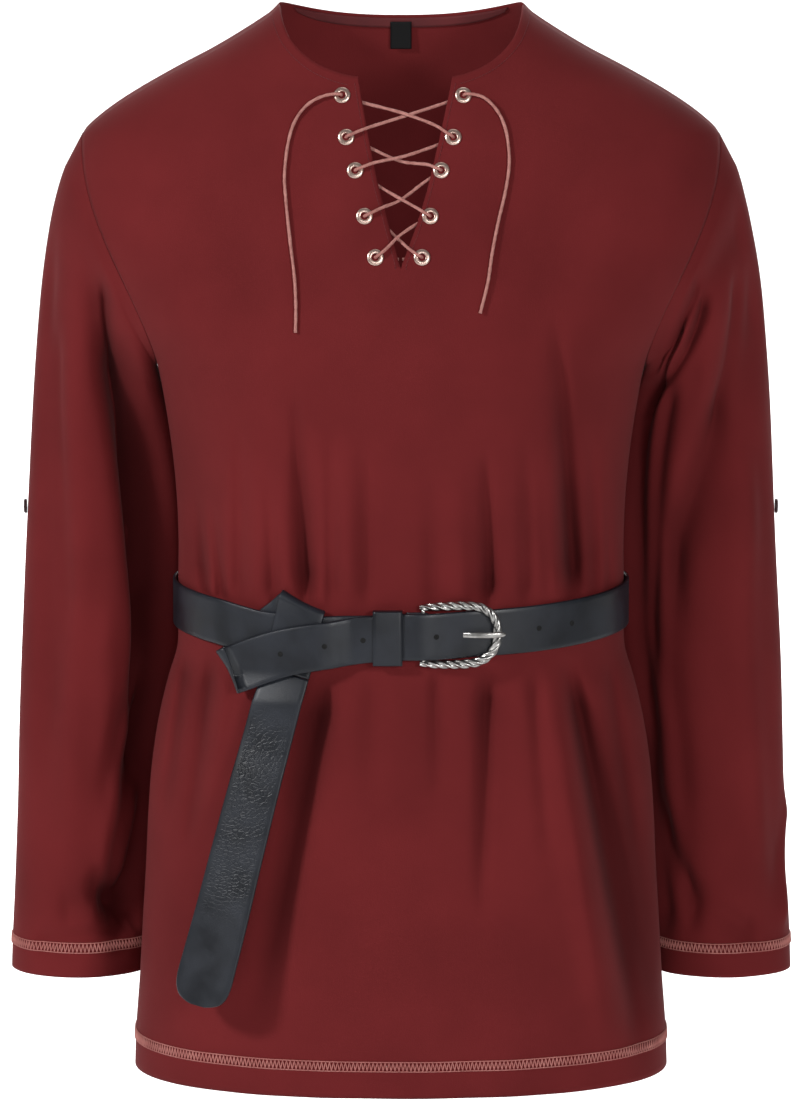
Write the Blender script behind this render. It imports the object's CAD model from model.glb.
"""A medieval tunic in wine-red cotton with its laced neck and its knotted leather belt, dressed on the CAD
solids.

Metres, +Z up. The front faces -Y and +X is the wearer's left. The origin is the middle of the neck opening
at the height of the shoulders' high points. Each section makes one piece or group of pieces.
"""

import math

import bpy
import numpy as np
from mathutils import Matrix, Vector
from mathutils.bvhtree import BVHTree


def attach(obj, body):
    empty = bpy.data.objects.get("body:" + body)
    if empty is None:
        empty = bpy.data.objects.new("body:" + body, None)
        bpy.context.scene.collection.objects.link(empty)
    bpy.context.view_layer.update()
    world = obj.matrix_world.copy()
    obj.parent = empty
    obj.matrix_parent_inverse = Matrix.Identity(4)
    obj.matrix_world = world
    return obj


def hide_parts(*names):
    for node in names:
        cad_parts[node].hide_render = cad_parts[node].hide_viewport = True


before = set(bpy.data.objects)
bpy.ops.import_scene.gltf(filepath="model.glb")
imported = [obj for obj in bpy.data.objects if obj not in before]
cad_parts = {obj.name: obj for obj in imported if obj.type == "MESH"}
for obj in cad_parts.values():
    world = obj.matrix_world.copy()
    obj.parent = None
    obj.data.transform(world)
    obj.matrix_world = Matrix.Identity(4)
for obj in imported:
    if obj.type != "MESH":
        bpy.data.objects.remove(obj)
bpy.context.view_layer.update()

# Camera, light and ground
# A long lens a little above the garment's middle, a key from the upper left, softer lights in front, behind
# and in the neck opening, and a white paper sweep that runs far back.

MM = 0.001
CAMERA_PLACE = (0, -4.451, 0.261)
CAMERA_TILT = 8.5  # degrees down
PHOTO_HIGH = 1100
FOCAL_PIXELS = 6081
SENSOR = 36

camera_data = bpy.data.cameras.new("camera")
camera_data.sensor_width = SENSOR
camera_data.lens = SENSOR * FOCAL_PIXELS / PHOTO_HIGH
camera = bpy.data.objects.new("camera", camera_data)
camera.location = CAMERA_PLACE
camera.rotation_euler = (math.radians(90 - CAMERA_TILT), 0, 0)
bpy.context.scene.collection.objects.link(camera)
bpy.context.scene.camera = camera


def area_light(name, place, target, size, power):
    """A square area light at a place, looking at a target."""
    data = bpy.data.lights.new(name, "AREA")
    data.size = size
    data.energy = power
    light = bpy.data.objects.new(name, data)
    light.location = place
    light.rotation_euler = (Vector(target) - Vector(place)).to_track_quat("-Z", "Y").to_euler()
    bpy.context.scene.collection.objects.link(light)


area_light("key", (-2.8, -2.0, 1.4), (0, 0, -0.35), 0.5, 80)
area_light("front", (1.9, -4.0, 0.5), (0, 0, -0.35), 0.8, 60)
area_light("lens", (0.1, -4.7, 0.5), (0, 0, -0.35), 0.5, 20)
area_light("top", (0.2, 0.3, 2.2), (0, 0, -0.3), 1.4, 8)
area_light("back", (0.6, 2.4, 1.2), (0, 0, -0.4), 1.4, 12)
area_light("paper", (0, 4.6, 2.6), (0, 6.0, -1.15), 5.4, 620)
area_light("inside", (0, -0.04, -0.13), (0, 0.12, -0.09), 0.18, 0.09)

world = bpy.data.worlds.new("studio")
bpy.context.scene.world = world
world.use_nodes = True
world.node_tree.nodes["Background"].inputs["Color"].default_value = (0.97, 0.98, 1.0, 1)
world.node_tree.nodes["Background"].inputs["Strength"].default_value = 0.12
bpy.context.scene.view_settings.view_transform = "Standard"


def new_object(name, vertices, faces, smooth=True):
    """A mesh object from vertex places in metres and faces of vertex numbers, its normals made to face out."""
    mesh = bpy.data.meshes.new(name)
    mesh.from_pydata(np.asarray(vertices).tolist(), [], [tuple(face) for face in faces])
    mesh.update()
    if smooth:
        mesh.polygons.foreach_set("use_smooth", np.ones(len(mesh.polygons), dtype=bool))
    made = bpy.data.objects.new(name, mesh)
    bpy.context.scene.collection.objects.link(made)
    return made


SWEEP_LOW = -1.15
SWEEP_WIDE = 6
# y, height over the sweep's floor
SWEEP_ROWS = [(-6, 0), (8.4, 0), (9.2, 0.12), (9.8, 0.5), (10.1, 1.1), (10.2, 6.15)]
sweep_places = [(x, y, SWEEP_LOW + rise) for y, rise in SWEEP_ROWS for x in (-SWEEP_WIDE, SWEEP_WIDE)]
sweep_faces = [(2 * i, 2 * i + 1, 2 * i + 3, 2 * i + 2) for i in range(len(SWEEP_ROWS) - 1)]
sweep = new_object("sweep", sweep_places, sweep_faces)


def new_material(name, colour, roughness, metallic=0.0):
    """A material with one Principled shader; returns it with its node tree and its shader."""
    material = bpy.data.materials.new(name)
    material.use_nodes = True
    tree = material.node_tree
    shader = tree.nodes["Principled BSDF"]
    shader.inputs["Base Color"].default_value = (*colour, 1)
    shader.inputs["Roughness"].default_value = roughness
    shader.inputs["Metallic"].default_value = metallic
    return material, tree, shader


sweep_material, _, _ = new_material("paper_sweep", (0.95, 0.95, 0.95), 0.9)
sweep.data.materials.append(sweep_material)


# Form of the cloth
# The same tables as the solids: sections of the body from the hem up, the armholes, the neck, the slit and
# the folds, with the finer folds that only the dressed part has. Millimetres; made into metres when a mesh
# is built.

CLOTH = 1.3
SEAM_GAP = 0.4
ARMHOLE_GAP = 0.3
ARMPIT_Z, ARMPIT_X = -262.0, 179.5
TIP_X, TIP_Z = 233.0, -95.0
NECK_HALF = 89.0
ROUNDNESS = 2.3

# height, half width, depth in front, depth behind
SECTIONS = np.array([
    (-790, 199, 126, 124), (-762, 198, 127, 125), (-722, 195, 127, 125), (-680, 192.5, 127, 124),
    (-640, 190, 126, 123), (-600, 188, 124, 121), (-562, 185, 121, 118), (-527, 179.5, 118, 114),
    (-498, 172.5, 115.5, 110), (-475, 165.8, 114, 107), (-449, 165, 114, 107), (-422, 164.8, 114, 107),
    (-396, 164.5, 117, 109), (-364, 165.5, 121.5, 111.5),
    (-330, 168.5, 125.5, 114), (-295, 173.5, 128.5, 116),
    (-262, 180, 130, 118), (-250, 186, 129, 118.5), (-230, 200, 126, 119), (-200, 219, 120, 118.5),
    (-167, 236, 112.5, 116), (-130, 242, 103, 110), (-95, 233, 92.5, 102), (-81.5, 220, 88, 97),
    (-66, 198, 82.5, 90), (-47.5, 166, 76, 82), (-30, 133, 71, 75), (-7.5, 97, 64, 67), (0, 89, 62, 66),
])
TOP_SHARES = np.array([0, 0.08, 0.155, 0.225, 0.29, 0.345, 0.382, 0.46, 0.57, 0.69, 0.81, 0.915, 1])
FRONT_NECKLINE = np.array([(0, -50), (34, -48.5), (50, -44.5), (66, -36.5), (80, -23), (86, -11), (89, 0)])
BACK_NECK_DIP = 13
SLIT = np.array([(-181, -0.9, 0.5), (-150, -9.5, 12), (-117, -18, 21.5), (-48.5, -31, 37), (-30, -33, 39)])

# side (-1 front, 1 back), top x, top z, low x, low z, half width, depth, deep end, sharpness of its valley
LOW, TOP, MIDDLE, LONG_LOW, LONG_TOP = 0, 1, 2, 3, 4
FOLDS = [
    (-1, -76, -285, -66, -424, 13, 9, LOW), (-1, -156, -300, -147, -424, 11, 8, LOW),
    (-1, -122, -300, -124, -418, 13, -4, MIDDLE), (-1, -96, -290, -94, -418, 11, -4, MIDDLE),
    (-1, -44, -300, -44, -418, 15, -5, MIDDLE), (-1, 66, -340, 63, -424, 14, 6, LOW),
    (-1, 112, -235, 128, -424, 16, 13, LOW), (-1, 150, -280, 152, -418, 13, -4, MIDDLE),
    (-1, -146, -474, -170, -640, 12, 9, TOP), (-1, -110, -478, -128, -700, 18, -5, MIDDLE),
    (-1, 68, -474, 62, -680, 16, 7, TOP), (-1, 20, -478, 16, -740, 20, 4, TOP),
    (-1, 134, -474, 192, -780, 18, 19, MIDDLE), (-1, 108, -478, 158, -780, 13, -12, MIDDLE),
    (1, -92, -250, -78, -424, 15, 10, LOW), (1, -18, -300, -14, -424, 15, 8, LOW),
    (1, 56, -270, 48, -424, 14, 9, LOW), (1, 130, -290, 118, -424, 14, 9, LOW),
    (1, -48, -290, -48, -418, 14, -4, MIDDLE), (1, 86, -290, 84, -418, 14, -4, MIDDLE),
    (1, -86, -474, -112, -760, 18, 12, MIDDLE), (1, 0, -474, 6, -700, 17, 8, TOP),
    (1, 84, -474, 118, -740, 17, 10, MIDDLE),
    # finer ones
    (-1, -77, -262, -68, -436, 4.2, 9.5, LONG_LOW), (-1, -86, -300, -80, -432, 6, -4, LONG_LOW),
    (-1, -149, -350, -143, -434, 4, 7, LONG_LOW), (-1, -137, -355, -130, -434, 3.6, 7, LONG_LOW),
    (-1, -143, -370, -137, -432, 3, -2.5, LONG_LOW), (-1, -106, -290, -105, -432, 6.5, -4, LONG_LOW),
    (-1, -117, -290, -118, -432, 4.5, 5, LONG_LOW), (-1, -60, -290, -57, -432, 5, -3.4, LONG_LOW),
    (-1, -50, -290, -50, -432, 4.5, 5, LONG_LOW), (-1, -36, -280, -38, -432, 7, -3.4, LONG_LOW),
    (-1, -24, -300, -24, -432, 5, 3.6, LONG_LOW), (-1, 22, -320, 24, -432, 8, 4.6, LONG_LOW),
    (-1, 42, -320, 44, -432, 7, -3, LONG_LOW), (-1, 61, -310, 64, -434, 4.5, 10, LONG_LOW),
    (-1, 90, -300, 92, -432, 6, 5, LONG_LOW), (-1, 104, -280, 114, -432, 5, -4, LONG_LOW),
    (-1, 111, -215, 127, -436, 6, 14, LONG_LOW), (-1, 138, -300, 142, -432, 5, 6, LONG_LOW),
    (-1, 150, -340, 153, -432, 3.6, 4.5, LONG_LOW), (-1, -138, -472, -158, -620, 5, 8, LONG_TOP),
    (-1, -126, -474, -142, -600, 6, -3, LONG_TOP), (-1, -72, -478, -84, -590, 7, 5, LONG_TOP),
    (-1, -20, -478, -24, -580, 8, 3.4, LONG_TOP), (-1, 62, -474, 58, -660, 5.5, 9, LONG_TOP),
    (-1, 96, -476, 108, -620, 6, 5, LONG_TOP), (-1, 121, -470, 180, -786, 7, 18, LONG_TOP),
    (-1, 138, -474, 186, -720, 6, -4, MIDDLE), (-1, 152, -476, 174, -620, 5, 6, LONG_TOP),
    (-1, -128, -120, -96, -250, 22, 4, MIDDLE), (-1, 128, -125, 92, -250, 22, 4, MIDDLE),
    (-1, -60, -80, -70, -230, 16, 2, MIDDLE), (-1, 66, -90, 78, -220, 16, 2, MIDDLE),
    (-1, -54, -476, -108, -745, 11, 17, LONG_TOP), (-1, 25, -474, 26, -570, 4.5, 5, LONG_TOP),
    (-1, -158, -474, -176, -600, 5, 9, LONG_TOP), (-1, -96, -330, -92, -432, 4, 5, LONG_LOW),
    (1, -80, -290, -76, -434, 4.5, 8, LONG_LOW), (1, 30, -300, 26, -432, 6, 6, LONG_LOW),
    (1, 104, -310, 100, -434, 5, 7, LONG_LOW), (1, -130, -320, -126, -434, 6, 7, LONG_LOW),
    (1, -8, -320, -6, -432, 5, -3.4, LONG_LOW), (1, 68, -330, 64, -432, 4.5, 6, LONG_LOW),
    (1, -140, -474, -160, -660, 8, 7, LONG_TOP), (1, -40, -474, -46, -620, 7, 6, LONG_TOP),
    (1, 48, -474, 56, -640, 7, 6, LONG_TOP), (1, 140, -474, 164, -680, 8, 8, LONG_TOP),
    (1, -112, -474, -126, -640, 5, 5, LONG_TOP), (1, 100, -474, 120, -700, 6, 6, LONG_TOP),
    (1, -110, -120, -80, -250, 24, 4, MIDDLE), (1, 110, -120, 84, -250, 24, 4, MIDDLE),
]


def smooth_table(table, column, at):
    """A column of a table at places along its first column, as a cubic Hermite curve whose slope at a row
    is that between its neighbours."""
    key, value = table[:, 0], table[:, column]
    at = np.asarray(at, dtype=float)
    i = np.clip(np.searchsorted(key, at, side="right") - 1, 0, len(key) - 2)
    before = np.maximum(np.arange(len(key)) - 1, 0)
    after = np.minimum(np.arange(len(key)) + 1, len(key) - 1)
    slope = (value[after] - value[before]) / (key[after] - key[before])
    span = key[i + 1] - key[i]
    t = np.clip((at - key[i]) / span, 0, 1)
    start = (2 * t**3 - 3 * t**2 + 1) * value[i] + (t**3 - 2 * t**2 + t) * span * slope[i]
    return start + (3 * t**2 - 2 * t**3) * value[i + 1] + (t**3 - t**2) * span * slope[i + 1]


def fold_depth(side, x, z):
    """The sum of the folds: each a Gaussian trough across its line, faded along it towards one end or both."""
    total = np.zeros(np.broadcast(x, z).shape)
    for fold_side, top_x, top_z, low_x, low_z, wide, depth, deep_end in FOLDS:
        if fold_side != side:
            continue
        along = (top_z - z) / (top_z - low_z)
        inside = (along > 0) & (along < 1)
        held = np.clip(along, 1e-6, 1 - 1e-6)
        fades = (held**1.5, (1 - held) ** 1.2, np.sin(np.pi * held), held**0.7, (1 - held) ** 0.6)
        fade = fades[deep_end]
        ends = np.minimum(1, np.minimum(8 * held, 8 * (1 - held)))
        across = (x - (top_x + (low_x - top_x) * held)) / wide
        total = total + np.where(inside, depth * fade * ends * np.exp(-(across**2)), 0)
    return total


def unevenness(x, z, seed):
    """Shallow swells of hanging cloth: six sine waves of different directions, under a millimetre in all."""
    draw = np.random.default_rng(seed)
    total = 0
    for _ in range(6):
        long = draw.uniform(38, 120)
        turn = draw.uniform(-0.5, 0.5)
        across = x * math.cos(turn) + z * math.sin(turn)
        total = total + np.sin(2 * np.pi * across / long + draw.uniform(0, 6.3))
    return 0.16 * total


def body_y(side, x, z):
    """The outer cloth's y: the section's rounded depth less the folds, on its side of the seam's plane."""
    depth = smooth_table(SECTIONS, 2 if side < 0 else 3, z)
    share = np.minimum(np.abs(x) / smooth_table(SECTIONS, 1, z), 1)
    held_in = np.clip((1 - share) / 0.08, 0, 1)
    swell = unevenness(x, z, 3 + side) * held_in * np.clip(np.abs(z) / 60, 0, 1)
    full = SEAM_GAP / 2 + depth * (1 - share**ROUNDNESS) ** (1 / ROUNDNESS)
    return side * (full - fold_depth(side, x, z) - swell)


def body_normal(side, x, z):
    """The outward unit normal of the body's cloth over (x, z), from differences over one millimetre."""
    dx = (body_y(side, x + 0.5, z) - body_y(side, x - 0.5, z))
    dz = (body_y(side, x, z + 0.5) - body_y(side, x, z - 0.5))
    normal = np.stack([-dx, np.ones_like(dx), -dz], axis=-1) * side
    return normal / np.linalg.norm(normal, axis=-1, keepdims=True)


def over_body(side, x, z, lift):
    """Points over the body's cloth at (x, z), moved out along its normal by a lift."""
    x, z, lift = (np.asarray(v, dtype=float) for v in (x, z, lift))
    places = np.stack(np.broadcast_arrays(x, body_y(side, x, z), z), axis=-1)
    return places + body_normal(side, x, z) * lift[..., None]


# Laces
# Two halves of one round twisted cotton cord, 2.3 mm thick. Each goes from its free end into the top
# eyelet, crosses the slit down to the lowest pair, and they join behind the slit's tip.

EYELET_CROWN = 1.2
LACE_RADIUS = 1.15
OVER = LACE_RADIUS + 0.6
OVER_RIM = EYELET_CROWN + LACE_RADIUS + 0.4
BEHIND = -(1.4 + LACE_RADIUS + 0.95)

LACE_ROUTES = {
    "right": [
        (-75.2, -229, OVER), (-75, -211, OVER), (-76, -192, OVER), (-79.5, -164, OVER), (-82.5, -136, OVER),
        (-83.4, -116, OVER), (-78, -85, OVER), (-69.5, -71.5, OVER + 0.6), (-59, -64.5, OVER + 1.2),
        (-48, -61.7, OVER_RIM + 0.2), (-43.4, -61.6, 2.2), (-42.2, -61.9, -3.2), (-29, -65.6, BEHIND),
        (1.5, -74.5, 0.8), (26, -84, 2.2), (32, -88, OVER_RIM), (36.5, -90.5, 2.2), (37.3, -91.3, -3.2),
        (26, -95.8, BEHIND), (2.5, -104.5, 0.8), (-20, -109.5, 2.2),
        (-27.6, -112.4, OVER_RIM), (-31.8, -114, 2.2),
        (-32.7, -114.4, -3.2), (-16, -124.5, BEHIND), (-2.5, -133.2, 0.8), (11, -140.8, 2.2),
        (16.2, -143.9, OVER_RIM), (20, -146, 2.2), (20.8, -146.5, -3.2),
        (11, -151.5, BEHIND), (-1.5, -160.5, 0.8),
        (-9, -168, 2.2), (-14, -172.5, OVER_RIM), (-17.5, -174.9, 2.2), (-18.2, -175.4, -3.4),
        (-10, -176, BEHIND - 0.5), (-1.5, -176, BEHIND - 0.5),
    ],
    "left": [
        (56.5, -215, OVER), (62, -193, OVER), (65, -173, OVER), (69.5, -151, OVER), (74.5, -131, OVER),
        (77.4, -113, OVER), (77.2, -100, OVER), (74.4, -84.5, OVER), (68.5, -73, OVER + 0.6),
        (59.5, -64.5, OVER + 1.2), (50.4, -61.7, OVER_RIM + 0.2), (45.8, -61.6, 2.2), (44.6, -61.9, -3.2),
        (33, -65.8, BEHIND), (-1.5, -77, -2.3), (-27, -86, 2.0), (-34, -89, OVER_RIM), (-38.4, -90.7, 2.2),
        (-39.2, -91.2, -3.2), (-26, -96, BEHIND), (0, -107.5, -2.3),
        (19.5, -110.8, 2.0), (24, -112.6, OVER_RIM),
        (27.8, -114, 2.2), (28.6, -114.4, -3.2), (17.5, -121.3, BEHIND), (-1.5, -135.3, -2.1),
        (-13.5, -140.6, 2.0), (-21.4, -144.3, OVER_RIM), (-25.2, -146.1, 2.2), (-26, -146.5, -3.2),
        (-13, -152.2, BEHIND), (-1, -163, -2.3), (5.5, -169.3, 2.0),
        (10.6, -173, OVER_RIM), (14.1, -174.9, 2.2),
        (14.8, -175.4, -3.4), (8, -176, BEHIND - 0.5), (0.9, -176, BEHIND - 0.5),
    ],
}


def catmull(points, count):
    """Points along a centripetal Catmull-Rom curve through a route, count to each span."""
    points = np.asarray(points, dtype=float)
    ends = np.vstack([2 * points[0] - points[1], points, 2 * points[-1] - points[-2]])
    t = np.linspace(0, 1, count, endpoint=False)[:, None]
    result = []
    for a, b, c, d in zip(ends[:-3], ends[1:-2], ends[2:-1], ends[3:]):
        ka, kb, kc = (max(np.linalg.norm(q - p), 1e-6) ** 0.5 for p, q in ((a, b), (b, c), (c, d)))
        mb = kb * ((b - a) / ka - (c - a) / (ka + kb) + (c - b) / kb)
        mc = kb * ((c - b) / kb - (d - b) / (kb + kc) + (d - c) / kc)
        result.append((2 * t**3 - 3 * t**2 + 1) * b + (t**3 - 2 * t**2 + t) * mb
                      + (3 * t**2 - 2 * t**3) * c + (t**3 - t**2) * mc)
    return np.vstack([*result, points[-1:]])


def carried_frames(line):
    """Tangents and two square directions along a line, the first direction carried along with least
    turning."""
    tangent = np.gradient(line, axis=0)
    tangent /= np.linalg.norm(tangent, axis=1, keepdims=True)
    first = np.cross(tangent[0], (0.3, 0.9, 0.2))
    firsts = [first / np.linalg.norm(first)]
    for t in tangent[1:]:
        nxt = firsts[-1] - t * np.dot(firsts[-1], t)
        firsts.append(nxt / np.linalg.norm(nxt))
    first = np.array(firsts)
    return tangent, first, np.cross(tangent, first)


def grid_faces(rows, columns, closed_rows=False, closed_columns=False):
    """Quads of a grid of vertices numbered row by row, closed round its rows or columns if asked."""
    r = np.arange(rows if closed_rows else rows - 1)[:, None]
    c = np.arange(columns if closed_columns else columns - 1)[None, :]
    r2, c2 = (r + 1) % rows, (c + 1) % columns
    quads = [r * columns + c, r * columns + c2, r2 * columns + c2, r2 * columns + c]
    return np.stack([np.broadcast_to(q, (r.shape[0], c.shape[1])) for q in quads], axis=-1).reshape(-1, 4)


def add_uv(made, u, v):
    """A UV for each vertex, written to the mesh's corners."""
    mesh = made.data
    corner = np.empty(len(mesh.loops), dtype=np.int32)
    mesh.loops.foreach_get("vertex_index", corner)
    layer = mesh.uv_layers.new(name="UVMap")
    both = np.stack([np.asarray(u).ravel()[corner], np.asarray(v).ravel()[corner]], axis=1)
    layer.data.foreach_set("uv", both.ravel().astype(np.float32))


def face_out(made):
    """Turns the mesh over if its signed volume is negative."""
    mesh = made.data
    places = np.empty(len(mesh.vertices) * 3)
    mesh.vertices.foreach_get("co", places)
    places = places.reshape(-1, 3)
    mesh.calc_loop_triangles()
    triangles = np.empty(len(mesh.loop_triangles) * 3, dtype=np.int32)
    mesh.loop_triangles.foreach_get("vertices", triangles)
    a, b, c = places[triangles.reshape(-1, 3)].transpose(1, 0, 2)
    if np.einsum("ij,ij->i", a, np.cross(b, c)).sum() < 0:
        mesh.flip_normals()


def tube(name, line, radius, sides, lobes=0.0, twist=0.0, count=2):
    """A tube in millimetres along a line of points, its section a circle with lobes that turn by twist
    radians to the millimetre. UV runs round it and along it in metres."""
    _, first, second = carried_frames(line)
    along = np.concatenate([[0], np.cumsum(np.linalg.norm(np.diff(line, axis=0), axis=1))])
    turn = np.linspace(0, 2 * np.pi, sides, endpoint=False)
    radius = np.broadcast_to(np.asarray(radius, dtype=float), along.shape)[:, None]
    reach = radius * (1 + lobes * np.cos(count * (turn[None, :] - twist * along[:, None])))
    ring = (line[:, None, :] + first[:, None, :] * (reach * np.cos(turn))[..., None]
            + second[:, None, :] * (reach * np.sin(turn))[..., None])
    rows = len(line)
    vertices = np.vstack([ring.reshape(-1, 3), line[:1], line[-1:]]) * MM
    faces = grid_faces(rows, sides, closed_columns=True).tolist()
    k = np.arange(sides)
    start, end = rows * sides, rows * sides + 1
    faces += [(start, int((i + 1) % sides), int(i)) for i in k]
    faces += [(end, int((rows - 1) * sides + i), int((rows - 1) * sides + (i + 1) % sides)) for i in k]
    made = new_object(name, vertices, faces)
    around = np.broadcast_to(turn / (2 * np.pi), (rows, sides)).ravel()
    lengthwise = np.concatenate([np.repeat(along, sides), [0, along[-1]]])
    add_uv(made, np.concatenate([around, [0, 0]]), lengthwise * MM)
    face_out(made)
    return made


def effect_group(name, wanted):
    """An empty node group with the inputs named in wanted and outputs Mask and Height."""
    group = bpy.data.node_groups.new(name, "ShaderNodeTree")
    for label, kind, value in wanted:
        socket = group.interface.new_socket(label, in_out="INPUT", socket_type=kind)
        if value is not None:
            socket.default_value = value
    group.interface.new_socket("Mask", in_out="OUTPUT", socket_type="NodeSocketFloat")
    group.interface.new_socket("Height", in_out="OUTPUT", socket_type="NodeSocketFloat")
    return group, group.nodes.new("NodeGroupInput"), group.nodes.new("NodeGroupOutput")


def node(tree, kind, links=None, **settings):
    """A node with settings; links maps an input's name or number to a value or to another node's output."""
    made = tree.nodes.new(kind)
    for key, value in settings.items():
        setattr(made, key, value)
    for key, value in (links or {}).items():
        if isinstance(value, bpy.types.NodeSocket):
            tree.links.new(value, made.inputs[key])
        else:
            made.inputs[key].default_value = value
    return made


def spread(tree, value, low, high, to_low=0.0, to_high=1.0):
    """The output of a node that maps a value from one range to another and holds it there."""
    ends = {"Value": value, "From Min": low, "From Max": high, "To Min": to_low, "To Max": to_high}
    return node(tree, "ShaderNodeMapRange", ends).outputs["Result"]


def maths(tree, operation, first, second=0.0):
    """The output of a node that works out one operation on two values."""
    return node(tree, "ShaderNodeMath", {0: first, 1: second}, operation=operation).outputs[0]


def blend(tree, share, second):
    """A node that mixes its first colour with a given second one by a share."""
    made = node(tree, "ShaderNodeMix", {"Factor": share}, data_type="RGBA")
    made.inputs[7].default_value = (*second, 1)
    return made


# Mottle is a slow noise for a cloth's or leather's tone, with a fine grain for its height.
mottle, mottle_in, mottle_out = effect_group(
    "mottle",
    [("Slow", "NodeSocketFloat", 9.0), ("Fine", "NodeSocketFloat", 900.0)],
)
mottle_place = node(mottle, "ShaderNodeTexCoord")
for pace, detail, wanted in (("Slow", 3.0, "Mask"), ("Fine", 2.0, "Height")):
    place, scale = mottle_place.outputs["Object"], mottle_in.outputs[pace]
    noise = node(mottle, "ShaderNodeTexNoise", {"Vector": place, "Scale": scale, "Detail": detail})
    mottle.links.new(noise.outputs["Fac"], mottle_out.inputs[wanted])


MOTTLE_RANGE = (0.3, 0.7)  # most of the noise lies between these


def mottled(tree, shader, low, high, bump, distance, slow=9.0, fine=900.0):
    """Puts the mottle group on a shader: its colour between two tones by the mask, its normal by the
    height."""
    effect = tree.nodes.new("ShaderNodeGroup")
    effect.node_tree = mottle
    effect.inputs["Slow"].default_value = slow
    effect.inputs["Fine"].default_value = fine
    mix = blend(tree, spread(tree, effect.outputs["Mask"], *MOTTLE_RANGE), high)
    mix.inputs[6].default_value = (*low, 1)
    relief = {"Strength": bump, "Distance": distance, "Height": effect.outputs["Height"]}
    bumped = node(tree, "ShaderNodeBump", relief)
    tree.links.new(mix.outputs[2], shader.inputs["Base Color"])
    tree.links.new(bumped.outputs["Normal"], shader.inputs["Normal"])
    return effect, mix, bumped


lace_material, lace_tree, lace_shader = new_material("rose_cord", (0.42, 0.17, 0.15), 0.8)
mottled(lace_tree, lace_shader, (0.36, 0.135, 0.115), (0.52, 0.23, 0.2), 0.3, 0.0002, slow=260.0, fine=2600.0)

LACE_TWIST = 2 * math.pi / 3.4  # radians to the millimetre
for lace_name, route in LACE_ROUTES.items():
    route_x, route_z, route_lift = np.array(route).T
    lace_line = catmull(over_body(-1, route_x, route_z, route_lift), 9)
    lace = tube(f"lace_cord_{lace_name}", lace_line, LACE_RADIUS, 12, lobes=0.1, twist=LACE_TWIST)
    lace.data.materials.append(lace_material)
    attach(lace, "root")
    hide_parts(f"lace_{lace_name}")


# Front and back
# Two shaped panels of matt cotton, 1.3 mm thick, sewn at the sides and shoulders; the front is slit at the
# neck.

SLIT_MIDDLE = 34.0  # mean half width of the slit at the neckline
HALF_COLUMNS = 96
LOW_ROWS = 130
ARM_ROWS = 70


def armhole_x(z):
    """The armhole's edge seen from the front: a raised quarter sine from the armpit out to the shoulder's
    tip."""
    share = np.clip((z - ARMPIT_Z) / (TIP_Z - ARMPIT_Z), 0, 1)
    return ARMPIT_X + (TIP_X - ARMPIT_X) * np.sin(np.pi / 2 * share) ** 1.5


def shoulder_z(out):
    """The height at which the body's half width falls to out, above the shoulder's tip."""
    heights = np.linspace(TIP_Z, 0, 400)
    halves = smooth_table(SECTIONS, 1, heights)
    return np.interp(out, halves[::-1], heights[::-1])


def top_z(side, x):
    """The panel's top edge: the neckline out to the neck's half width, then the shoulder."""
    out = np.abs(x)
    if side < 0:
        neck = smooth_table(FRONT_NECKLINE, 1, np.minimum(out, NECK_HALF))
    else:
        neck = -BACK_NECK_DIP * (1 - np.minimum(out / NECK_HALF, 1) ** 2.5)
    return np.where(out < NECK_HALF, neck, shoulder_z(np.maximum(out, NECK_HALF)))


def half_panel(side, sign):
    """The outer points of half a panel, as rows from the hem up of columns from the middle out. On the
    front the columns draw aside for the slit, most at the middle."""
    k = np.linspace(0, 12, HALF_COLUMNS + 1)
    low_share = np.sin(np.pi / 2 * k / 12) ** (2 / ROUNDNESS)
    top_share = np.interp(k, np.arange(13), TOP_SHARES)
    aside = (1 - np.arange(HALF_COLUMNS + 1) / HALF_COLUMNS) ** 4
    edge_column = 1 if sign < 0 else 2

    def slit_edge(z):
        known = smooth_table(SLIT, edge_column, np.clip(z, -181, -30))
        return np.where((z > -181) & (side < 0), known, 0)

    z = np.linspace(-790, ARMPIT_Z, LOW_ROWS, endpoint=False)[:, None] + np.zeros_like(k)
    x = sign * smooth_table(SECTIONS, 1, z) * low_share
    t = (np.arange(ARM_ROWS + 1) / ARM_ROWS)[:, None] ** 0.9
    side_z = ARMPIT_Z + (TIP_Z - ARMPIT_Z) * t
    share = low_share + (top_share - low_share) * t
    top_x = TIP_X * top_share + (SLIT_MIDDLE * aside if side < 0 else 0)
    arm_z = ARMPIT_Z + (top_z(side, top_x) - ARMPIT_Z) * t
    arm_x = sign * armhole_x(side_z) * share + slit_edge(arm_z) * aside
    x, z = np.vstack([x, arm_x]), np.vstack([z, arm_z])
    y = body_y(side, x, z)
    y[:, -1] = np.where(z[:, -1] <= ARMPIT_Z, side * SEAM_GAP / 2, y[:, -1])
    y[-1, np.abs(x[-1]) >= NECK_HALF - 0.1] = side * SEAM_GAP / 2
    return np.stack([x, y, z], axis=-1)


def grid_normals(grid, outward):
    """Unit normals of a grid from its neighbours' differences, turned to the side of an outward direction."""
    normal = np.cross(np.gradient(grid, axis=0), np.gradient(grid, axis=1))
    length = np.linalg.norm(normal, axis=-1, keepdims=True)
    normal = normal / np.maximum(length, 1e-9)
    return np.where((normal * outward).sum(-1, keepdims=True) < 0, -normal, normal)


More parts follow.
